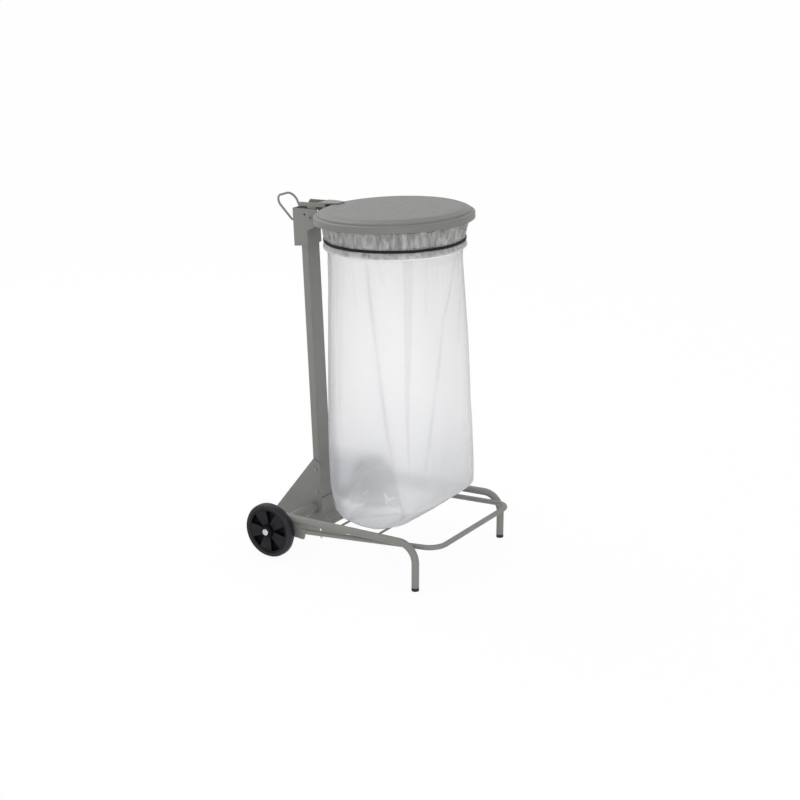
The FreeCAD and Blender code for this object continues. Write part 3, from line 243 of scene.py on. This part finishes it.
def make_cuff_film():
    """The same film where it lies on the steel: clear where it touches, white where the hem doubles it, and
    white in streaks that are partly its wrinkles and partly painted highlights.
    """
    material, tree, cover = make_film("frosted_film_cuff", 0.86, 150.0, 0.4)[:3]
    # Noise streaks of whiter film: partly wrinkles that stand off the steel, partly painted highlights
    texture = object_noise(tree, 85.0, 7.0, (1.0, 1.0, 0.3), (0.6, 0.5, 0.0))
    wrinkle_and_highlight_streaks = spread(tree, texture, NOISE_SPAN, (-0.05, 0.9))
    white = calculate(tree, "ADD", wrinkle_and_highlight_streaks, mesh_value(tree, "doubled"), clamp=True)
    tree.links.new(white, cover.inputs["Fac"])
    return material


# Finishes of the solids: by material slot, and by node where a node has its own

PAINT = make_paint("grey_powder_coat", 0.190)
# The lid's copy of the same powder coat is darker: painted shade
LID_PAINT_SHADED = make_paint("grey_powder_coat_lid_shaded", 0.160)
ZINC = make_zinc("zinc_plate", 0.52)
DULL_ZINC = make_zinc("dull_zinc_plate", 0.26)
WHEEL_PLASTIC = make_hub_plastic()
TYRE = make_plastic("black_tyre", (0.010, 0.009, 0.013), (0.015, 0.014, 0.019), 0.40, 0.50, 0.2)
CAP_PLASTIC = make_plastic("black_cap_plastic", (0.01, 0.01, 0.011), (0.016, 0.016, 0.017), 0.45, 0.6, 0.2)
ELASTIC = make_elastic()
FILM = make_sack_film()
CUFF_FILM = make_cuff_film()

SLOT_FINISH = {"paint": PAINT, "zinc": ZINC, "black_plastic": CAP_PLASTIC, "tyre": TYRE,
               "elastic": ELASTIC, "film": FILM}
NODE_FINISH = {"lid": LID_PAINT_SHADED, "shoe_screws": DULL_ZINC,
               "wheel_hub_near": WHEEL_PLASTIC, "wheel_hub_far": WHEEL_PLASTIC}

for entry in frame["record"]["subparts"]:
    for material_slot in nodes[entry["node"]].material_slots:
        material_slot.link = "OBJECT"
        material_slot.material = NODE_FINISH.get(entry["node"], SLOT_FINISH[entry["material_slot"]])


# Mesh helpers

def mesh_piece(name, vertices, faces, material):
    """A smooth mesh object from plain lists."""
    mesh = bpy.data.meshes.new(name)
    mesh.from_pydata([tuple(vertex) for vertex in vertices], [], faces)
    mesh.materials.append(material)
    for polygon in mesh.polygons:
        polygon.use_smooth = True
    mesh.update()
    piece = bpy.data.objects.new(name, mesh)
    bpy.context.collection.objects.link(piece)
    return piece


def rows_to_faces(rows, columns):
    """Quads of a grid that closes on itself along its columns."""
    faces = []
    for row in range(rows - 1):
        for column in range(columns):
            after = (column + 1) % columns
            faces.append((row * columns + column, row * columns + after,
                          (row + 1) * columns + after, (row + 1) * columns + column))
    return faces


def give_values(piece, name, values):
    """Store one value for each vertex, for the material to read."""
    attribute = piece.data.attributes.new(name, "FLOAT", "POINT")
    attribute.data.foreach_set("value", values)


def turns(columns):
    """Evenly spaced angles all the way round, from +X."""
    return [2 * math.pi * column / columns for column in range(columns)]


def progress(value, start, end):
    """How far a value is on its way from a start to an end, from 0 to 1."""
    return np.clip((value - start) / (end - start), 0.0, 1.0)


def ridged(x, y, z):
    """A noise with sharp lines where it turns, at most 1."""
    return 1.0 - 4.0 * abs(noise.noise(Vector((x, y, z))))


# Sack

# Height, middle along X, half size along X, half size along Y, squareness
BAG_ROWS = [(0.1138, 0.0751, 0.0540, 0.1600, 4.3), (0.1190, 0.0741, 0.0720, 0.1660, 4.3),
            (0.1280, 0.0731, 0.0980, 0.1740, 4.6), (0.1500, 0.0761, 0.1210, 0.1820, 4.8),
            (0.1680, 0.0861, 0.1345, 0.1845, 4.6), (0.1820, 0.0911, 0.1470, 0.1850, 4.4),
            (0.2150, 0.0871, 0.1555, 0.1855, 4.0), (0.4200, 0.0791, 0.1700, 0.1865, 2.7),
            (0.6000, 0.0751, 0.1740, 0.1860, 2.3), (0.7600, 0.0681, 0.1740, 0.1840, 2.05),
            (0.8260, 0.0641, 0.1740, 0.1815, 2.0), (0.8420, 0.0623, 0.1785, 0.1788, 2.0),
            (0.8480, 0.0621, 0.1789, 0.1789, 2.0)]
BAG_FLOOR_Z = BAG_ROWS[0][0]
BAG_NECK_Z = BAG_ROWS[-1][0]
BAG_FLOOR_X = BAG_ROWS[0][1]
BAG_MEAN_RADIUS = 0.185

# Columns and rows of the mesh, whose rows are finer below a height
BAG_COLUMNS = 480
BAG_FINE_Z = 0.22
BAG_UPPER_ROWS = 190
BAG_FINE_ROWS = 90
BAG_FLOOR_ROWS = 30

# The film is tight over its grip at the neck, and loosens over a run below that and above the floor
NECK_GRIP = 0.012
LOOSE_RUN = 0.03
FLOOR_LOOSENESS = 0.1

# How far the loose film sways in and out, and the heights over which that fades
SWELL = 0.0025
DRAPE = 0.0004
GATHER = 0.0016
GATHER_RUN = 0.06
CRUMPLE = 0.0018
CRUMPLE_RUN = 0.05
FINE_CRUMPLE = 0.0006
FINE_CRUMPLE_RUN = 0.10
FLOOR_RUMPLE = 0.002

# Creases: line of (degrees from +X, height), half width, depth, greyness of their painted shade, which is
# negative in a painted highlight
CREASES = [
    # Long folds
    ([(-81, 0.840), (-79, 0.745), (-76.5, 0.655), (-72.5, 0.540), (-67, 0.380), (-63, 0.285),
      (-60.5, 0.230), (-56.5, 0.155)], 0.0050, 0.0016, 0.44),
    ([(6, 0.840), (-5.5, 0.750), (-15, 0.685), (-21, 0.595), (-26, 0.505), (-32, 0.400),
      (-38, 0.295)], 0.0060, 0.0012, 0.36),
    ([(20.5, 0.790), (11, 0.705), (5, 0.615)], 0.0080, 0.0005, 0.2),
    ([(-115, 0.825), (-115, 0.650), (-113, 0.460), (-111.5, 0.355)], 0.0060, 0.0006, 0.22),
    ([(-108.5, 0.830), (-109.5, 0.650), (-110.5, 0.465)], 0.0055, 0.0005, 0.16),
    # Short folds under the neck
    ([(-95, 0.845), (-92, 0.720)], 0.0050, 0.0010, 0.18),
    ([(-71, 0.845), (-68, 0.790)], 0.0050, 0.0012, 0.22),
    ([(-30, 0.845), (-33, 0.700)], 0.0060, 0.0010, 0.16),
    # Deep folds round the bottom of the near side
    ([(-109, 0.175), (-103, 0.205), (-96, 0.245), (-92, 0.275)], 0.0045, 0.0024, -0.3),
    ([(-105.5, 0.170), (-90, 0.195), (-80, 0.200), (-69.5, 0.195), (-60, 0.190)], 0.0045, 0.0030, -0.35),
    ([(-90.5, 0.185), (-101.5, 0.150)], 0.0050, 0.0026, 0.3),
    ([(-60, 0.180), (-80, 0.160), (-92, 0.145)], 0.0050, 0.0026, 0.25),
    # Small painted highlights in the near lower panel
    ([(-90.5, 0.220), (-86.5, 0.230)], 0.0022, 0.0010, -1.1),
    ([(-71, 0.230), (-69, 0.220)], 0.0022, 0.0010, -1.1),
    ([(-68, 0.215), (-64, 0.225)], 0.0024, 0.0010, -1.2),
    ([(-70.5, 0.215), (-70, 0.205)], 0.0020, 0.0008, -0.8),
    # Crossing folds in the near lower panel
    ([(-102, 0.255), (-91.5, 0.305)], 0.0040, 0.0014, 0.20),
    ([(-92, 0.275), (-83, 0.290), (-74.5, 0.305)], 0.0036, 0.0012, -0.22),
    ([(-83.5, 0.205), (-94.5, 0.180)], 0.0040, 0.0016, 0.25),
    # Long folds at the far side and the back
    ([(60, 0.840), (52, 0.600), (46, 0.300)], 0.0060, 0.0016, 0.25),
    ([(95, 0.835), (88, 0.500), (80, 0.200)], 0.0070, 0.0016, 0.25),
    ([(150, 0.830), (146, 0.480), (138, 0.210)], 0.0060, 0.0016, 0.25),
    ([(200, 0.830), (207, 0.520), (212, 0.220)], 0.0060, 0.0016, 0.25),
]
# A crease's painted shade is strong along its line, fainter beside it over some half widths, and wanders a
# little
LINE_SHARE = 0.90
BESIDE_SHARE = 0.24
BESIDE_REACH = 3.6
SHADE_WANDER = 0.22

# Painted shade towards the floor: how much, the height where it starts and the height where it is full
LOW_SHADES = [(0.44, 0.40, 0.20), (0.10, 0.60, 0.25)]
# The even painted shade on the sack's closed floor
FLOOR_GREY = 0.42

# A flat pleat of doubled film: height, degrees of its left and right edge
PLEAT = [(0.26, -52.5, -51.5), (0.49, -54.0, -49.5), (0.67, -53.0, -46.0), (0.848, -51.5, -42.0)]
PLEAT_SOFTNESS = 0.012
PLEAT_FADE = 0.1
PLEAT_RELIEF = 0.0012
PLEAT_GREY = 0.30

# The near lower panel of painted shade: its edge at the long fold as height and degrees, its fades in
# radians and heights
PANEL_EDGE = [(0.156, -56.4), (0.230, -60.7), (0.287, -63.2), (0.380, -67.0)]
PANEL_EDGE_SOFTNESS = 0.03
PANEL_LEFT_FADE = (-2.5, -2.0)
PANEL_TOP_FADE = (0.345, 0.295)
# How much painted shade the near lower panel holds
PANEL_GREY = 0.60

# Its lower edge: how low it comes, at which angle in radians, how it curves up from there, how soft it is
PANEL_HEM_Z = 0.180
PANEL_HEM_TURN = -1.6
PANEL_HEM_CURVE = 0.06
PANEL_HEM_SOFTNESS = 0.014


def bag_section(z):
    """Middle, half sizes and squareness of the sack at a height."""
    heights, *shapes = zip(*BAG_ROWS)
    return [float(np.interp(z, heights, shape)) for shape in shapes]


def distance_to(line, across, up):
    """How far each point of a grid of angles and heights is from a line on the film."""
    nearest = np.full_like(across, np.inf)
    for (start, start_z), (end, end_z) in zip(line[:-1], line[1:]):
        run_x = math.radians(end - start) * BAG_MEAN_RADIUS
        run_z = end_z - start_z
        x = ((across - math.radians(start) + math.pi) % (2 * math.pi) - math.pi) * BAG_MEAN_RADIUS
        z = up - start_z
        share = np.clip((x * run_x + z * run_z) / (run_x ** 2 + run_z ** 2), 0.0, 1.0)
        nearest = np.minimum(nearest, np.hypot(x - run_x * share, z - run_z * share))
    return nearest


def pleat_field(turn, up):
    """1 on the flat pleat, 0 off it."""
    heights, left, right = zip(*PLEAT)
    from_left = turn - np.radians(np.interp(up, heights, left))
    from_right = np.radians(np.interp(up, heights, right)) - turn
    inside = progress(np.minimum(from_left, from_right), 0.0, PLEAT_SOFTNESS)
    return inside * progress(up, heights[0], heights[0] + PLEAT_FADE)


def panel_field(turn, up):
    """1 on the near lower panel, 0 off it."""
    heights, degrees = zip(*PANEL_EDGE)
    edge = np.radians(np.interp(up, heights, degrees))
    hem = PANEL_HEM_Z + PANEL_HEM_CURVE * (turn - PANEL_HEM_TURN) ** 2
    sides = progress(turn, edge, edge - PANEL_EDGE_SOFTNESS) * progress(turn, *PANEL_LEFT_FADE)
    return sides * progress(up, *PANEL_TOP_FADE) * progress(up, hem, hem + PANEL_HEM_SOFTNESS)


def film_fields(angles, heights):
    """How far the film's folds stand out, and how grey it is with painted shade, painted highlights and its
    doubled pleat, on a grid of angles and heights.
    """
    across, up = np.meshgrid(angles, heights)
    turn = (across + math.pi) % (2 * math.pi) - math.pi
    relief = np.zeros_like(across)
    grey = np.zeros_like(across)
    for shade, top, bottom in LOW_SHADES:
        grey += shade * progress(up, top, bottom)
    for number, (line, half_width, depth, shade) in enumerate(CREASES):
        away = distance_to(line, across, up) / half_width
        furrow = np.exp(-away ** 2)
        beside = np.exp(-(away / BESIDE_REACH) ** 2)
        wander = 1.0 - SHADE_WANDER + SHADE_WANDER * np.sin(27.0 * up + 9.0 * across + 2.0 * number)
        relief -= depth * furrow
        grey += shade * wander * (LINE_SHARE * furrow + BESIDE_SHARE * beside)
    pleat = pleat_field(turn, up)
    relief += PLEAT_RELIEF * pleat
    grey += PANEL_GREY * panel_field(turn, up) + PLEAT_GREY * pleat
    return relief, np.clip(grey, 0.0, 1.0)


def bag_point(angle, z, relief):
    """A point of the folded film at an angle from +X and a height."""
    middle, half_x, half_y, square = bag_section(z)
    x = math.cos(angle)
    y = math.sin(angle)
    radius = ((abs(x) / half_x) ** square + (abs(y) / half_y) ** square) ** (-1.0 / square)
    below = max(0.0, BAG_NECK_Z - NECK_GRIP - z)
    rise = z - BAG_FLOOR_Z
    loose = min(1.0, below / LOOSE_RUN) * min(1.0, FLOOR_LOOSENESS + rise / LOOSE_RUN)
    sway = SWELL * noise.noise(Vector((2.0 * x + 4.0, 2.0 * y, 2.2 * z)))
    sway += DRAPE * ridged(3.4 * x, 3.4 * y + 7.0, 0.8 * z + 0.4 * y)
    sway += GATHER * math.exp(-below / GATHER_RUN) * ridged(9.0 * x + 2.0, 9.0 * y, 2.0 * z)
    sway += CRUMPLE * math.exp(-rise / CRUMPLE_RUN) * ridged(5.0 * x + 1.0, 5.0 * y, 12.0 * z)
    sway += FINE_CRUMPLE * math.exp(-rise / FINE_CRUMPLE_RUN) * ridged(12.0 * x, 12.0 * y + 9.0, 22.0 * z)
    radius += loose * (sway + relief)
    return Vector((middle + radius * x, radius * y, z))


def bag_floor(rim):
    """Rings of points from the sack's lowest row in to its middle, and the middle itself."""
    centre = Vector((BAG_FLOOR_X, 0.0, BAG_FLOOR_Z))
    points = []
    for step in range(1, BAG_FLOOR_ROWS):
        inward = 1.0 - step / BAG_FLOOR_ROWS
        for point in rim:
            place = centre + (point - centre) * inward
            rumple = FLOOR_RUMPLE * ridged(11.0 * place.x, 11.0 * place.y, 5.0) * (1.0 - inward ** 6)
            points.append(place + Vector((0.0, 0.0, max(0.0, rumple))))
    return points + [centre]


def make_bag_body():
    """The sack's film from the crown's neck down to its closed floor."""
    heights = list(np.linspace(BAG_NECK_Z, BAG_FINE_Z, BAG_UPPER_ROWS))
    heights += list(np.linspace(BAG_FINE_Z, BAG_FLOOR_Z, BAG_FINE_ROWS))[1:]
    angles = turns(BAG_COLUMNS)
    relief, grey = film_fields(np.array(angles), np.array(heights))
    vertices = []
    for row, z in enumerate(heights):
        vertices += [bag_point(angle, z, relief[row, column]) for column, angle in enumerate(angles)]
    vertices += bag_floor(vertices[-BAG_COLUMNS:])
    faces = rows_to_faces(len(heights) + BAG_FLOOR_ROWS - 1, BAG_COLUMNS)
    middle = len(vertices) - 1
    ring = middle - BAG_COLUMNS
    faces += [(ring + column, ring + (column + 1) % BAG_COLUMNS, middle) for column in range(BAG_COLUMNS)]
    piece = mesh_piece("film_bag", vertices, faces, FILM)
    # The sack's floor holds an even painted shade
    values = np.full(len(vertices), FLOOR_GREY)
    values[:grey.size] = grey.ravel()
    give_values(piece, "painted_shade_and_doubling", values)
    return piece


# Cuff and elastic, in the crown's frame: a level is a height above the middle of the elastic

STRAP_RADIUS = 0.1859
STRAP_HALF_WIDTH = 0.0036
STRAP_HALF_THICKNESS = 0.0014
STRAP_CORNER_POWER = 0.6
STRAP_WANDER = 0.0007
STRAP_COLUMNS = 360
STRAP_SECTION_POINTS = 14

HEM = -0.0203
CUFF_TOP = 0.0500
CUFF_COLUMNS = 720
CUFF_ROWS = 62

# Level and radius of the film's outer side over the crown, then radius and level back down inside it
CUFF_OUTSIDE = [(HEM, 0.1870), (-0.0180, 0.1875), (-0.0130, 0.1868), (-0.0070, 0.1838),
                (-STRAP_HALF_WIDTH, 0.1834), (STRAP_HALF_WIDTH, 0.1834), (0.0070, 0.1844), (0.0200, 0.1866),
                (0.0350, 0.1893), (0.0440, 0.1918), (0.0480, 0.1926), (CUFF_TOP, 0.1915)]
CUFF_INSIDE = [(0.1895, 0.0512), (0.186, 0.0512), (0.1815, 0.0506), (0.1795, 0.049), (0.1789, 0.03),
               (0.1789, 0.0), (0.1789, -0.0205)]

# Beside the elastic the film comes free over a run and stands off by a lift and a pleat, less below it
CUFF_FREE_RUN = 0.012
CUFF_LIFT = 0.0016
CUFF_PLEAT = 0.0012
SHARE_BELOW_STRAP = 0.55

# The hem's edge is wavy below a level, and its film gets whiter from one level down to another
HEM_WAVE_LEVEL = -0.017
HEM_WAVE = 0.0008
HEM_WHITE = 0.35
HEM_WHITE_FADE = (-0.003, -0.008)


def crown_point(radius, angle, level):
    """A point round the tilted crown."""
    return CROWN @ Vector((radius * math.cos(angle), radius * math.sin(angle), level))


def cuff_point(angle, level):
    """A point of the pleated cuff."""
    x = math.cos(angle)
    y = math.sin(angle)
    free = min(1.0, max(0.0, (abs(level) - STRAP_HALF_WIDTH) / CUFF_FREE_RUN))
    lift = 0.5 + 0.5 * ridged(9.0 * x, 9.0 * y + 5.0, 14.0 * level)
    pleat = 0.5 + 0.5 * ridged(20.0 * x + 3.0, 20.0 * y, 9.0 * level)
    height = free * (CUFF_LIFT * lift + CUFF_PLEAT * pleat)
    if level < 0:
        height *= SHARE_BELOW_STRAP
    wave = 0.0
    if level < HEM_WAVE_LEVEL:
        wave = HEM_WAVE * noise.noise(Vector((6.0 * x, 6.0 * y, 2.0)))
    levels, radii = zip(*CUFF_OUTSIDE)
    return crown_point(float(np.interp(level, levels, radii)) + height, angle, level + wave)


def make_cuff():
    """The film from the hem up over the crown's rim and down inside it."""
    angles = turns(CUFF_COLUMNS)
    levels = list(np.linspace(HEM, CUFF_TOP, CUFF_ROWS))
    vertices = []
    for level in levels:
        vertices += [cuff_point(angle, level) for angle in angles]
    for radius, level in CUFF_INSIDE:
        vertices += [crown_point(radius, angle, level) for angle in angles]
    faces = rows_to_faces(len(levels) + len(CUFF_INSIDE), CUFF_COLUMNS)
    piece = mesh_piece("film_cuff", vertices, faces, CUFF_FILM)
    values = np.zeros(len(vertices))
    whiteness = HEM_WHITE * progress(np.array(levels), *HEM_WHITE_FADE)
    values[:len(levels) * CUFF_COLUMNS] = np.repeat(whiteness, CUFF_COLUMNS)
    give_values(piece, "doubled", values)
    return piece


def make_strap():
    """The elastic strap round the cuff: a flat band with rounded edges that lies a little unevenly."""
    section = []
    for turn in turns(STRAP_SECTION_POINTS):
        outward = math.copysign(abs(math.cos(turn)) ** STRAP_CORNER_POWER, math.cos(turn))
        upward = math.copysign(abs(math.sin(turn)) ** STRAP_CORNER_POWER, math.sin(turn))
        section.append((STRAP_RADIUS + STRAP_HALF_THICKNESS * outward, STRAP_HALF_WIDTH * upward))
    vertices = []
    for radius, level in section + section[:1]:
        for angle in turns(STRAP_COLUMNS):
            wander = STRAP_WANDER * noise.noise(Vector((3.0 * math.cos(angle), 3.0 * math.sin(angle), 1.0)))
            vertices.append(crown_point(radius, angle, level + wander))
    return mesh_piece("elastic_band", vertices, rows_to_faces(len(section) + 1, STRAP_COLUMNS), ELASTIC)


bag_body = make_bag_body()
cuff = make_cuff()
strap = make_strap()
for piece in (bag_body, cuff):
    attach(piece, "holder")
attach(strap, "holder")
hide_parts("bag")
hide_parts("elastic_strap")


# Floor, light and camera

WHITE = (1.0, 1.0, 1.0, 1.0)
FLOOR_HALF = 30.0
FLOOR_COLOUR = (0.9, 0.9, 0.9, 1.0)
FLOOR_WHITE_SHARE = 0.93
AMBIENT = 0.96
LIGHT_TARGET = Vector((0.0, 0.0, 0.5))
CAMERA_PLACE = (2.6862 + AXLE_X, -3.7510, 1.8394)
CAMERA_DOWN_DEGREES = 17.555
CAMERA_TURN_DEGREES = 32.82
CAMERA_LENS = 78.6
CAMERA_SENSOR = 36.0


def make_floor():
    """A floor that is nearly plain white where it is seen, with a faint shadow on it."""
    mesh = bpy.data.meshes.new("studio_floor")
    corners = [(-FLOOR_HALF, -FLOOR_HALF, 0), (FLOOR_HALF, -FLOOR_HALF, 0),
               (FLOOR_HALF, FLOOR_HALF, 0), (-FLOOR_HALF, FLOOR_HALF, 0)]
    mesh.from_pydata(corners, [], [(0, 1, 2, 3)])
    floor = bpy.data.objects.new("studio_floor", mesh)
    bpy.context.collection.objects.link(floor)
    material, tree, principled = shader("studio_floor")
    principled.inputs["Base Color"].default_value = FLOOR_COLOUR
    principled.inputs["Roughness"].default_value = 0.9
    principled.inputs["Specular IOR Level"].default_value = 0.0
    glow = add(tree, "ShaderNodeEmission", Color=WHITE, Strength=1.0)
    path = tree.nodes.new("ShaderNodeLightPath")
    seen = calculate(tree, "MAXIMUM", path.outputs["Is Camera Ray"], path.outputs["Is Glossy Ray"])
    seen = calculate(tree, "MAXIMUM", seen, path.outputs["Is Transmission Ray"])
    mix = tree.nodes.new("ShaderNodeMixShader")
    tree.links.new(spread(tree, seen, (0.0, 1.0), (0.0, FLOOR_WHITE_SHARE)), mix.inputs["Fac"])
    tree.links.new(principled.outputs["BSDF"], mix.inputs[1])
    tree.links.new(glow.outputs["Emission"], mix.inputs[2])
    tree.links.new(mix.outputs["Shader"], tree.nodes["Material Output"].inputs["Surface"])
    mesh.materials.append(material)


def make_world():
    """Even light all round, and plain white where it is seen directly or through the film."""
    world = bpy.data.worlds.new("studio")
    world.use_nodes = True
    tree = world.node_tree
    ambient = tree.nodes["Background"]
    ambient.inputs["Color"].default_value = WHITE
    ambient.inputs["Strength"].default_value = AMBIENT
    white = add(tree, "ShaderNodeBackground", Color=WHITE, Strength=1.0)
    path = tree.nodes.new("ShaderNodeLightPath")
    seen = calculate(tree, "MAXIMUM", path.outputs["Is Camera Ray"], path.outputs["Is Transmission Ray"])
    mix = tree.nodes.new("ShaderNodeMixShader")
    tree.links.new(seen, mix.inputs["Fac"])
    tree.links.new(ambient.outputs["Background"], mix.inputs[1])
    tree.links.new(white.outputs["Background"], mix.inputs[2])
    tree.links.new(mix.outputs["Shader"], tree.nodes["World Output"].inputs["Surface"])
    bpy.context.scene.world = world


def area_light(name, place, size, power):
    """A rectangular light that faces the middle of the object."""
    light = bpy.data.lights.new(name, "AREA")
    light.shape = "RECTANGLE"
    light.size, light.size_y = size
    light.energy = power
    lamp = bpy.data.objects.new(name, light)
    bpy.context.collection.objects.link(lamp)
    lamp.location = place
    lamp.rotation_euler = (LIGHT_TARGET - Vector(place)).to_track_quat("-Z", "Y").to_euler()


def make_camera():
    """The camera of the photograph."""
    lens = bpy.data.cameras.new("camera")
    lens.lens = CAMERA_LENS
    lens.sensor_width = CAMERA_SENSOR
    camera = bpy.data.objects.new("camera", lens)
    bpy.context.collection.objects.link(camera)
    camera.location = CAMERA_PLACE
    camera.rotation_euler = (math.radians(90 - CAMERA_DOWN_DEGREES), 0.0,
                             math.radians(CAMERA_TURN_DEGREES))
    bpy.context.scene.camera = camera


make_floor()
make_world()
area_light("overhead_softbox", (-2.0, 0.3, 2.8), (2.0, 2.0), 22.0)
area_light("front_softbox", (2.4, -3.2, 1.0), (2.0, 1.6), 24.0)
make_camera()
bpy.context.scene.view_settings.view_transform = "Standard"
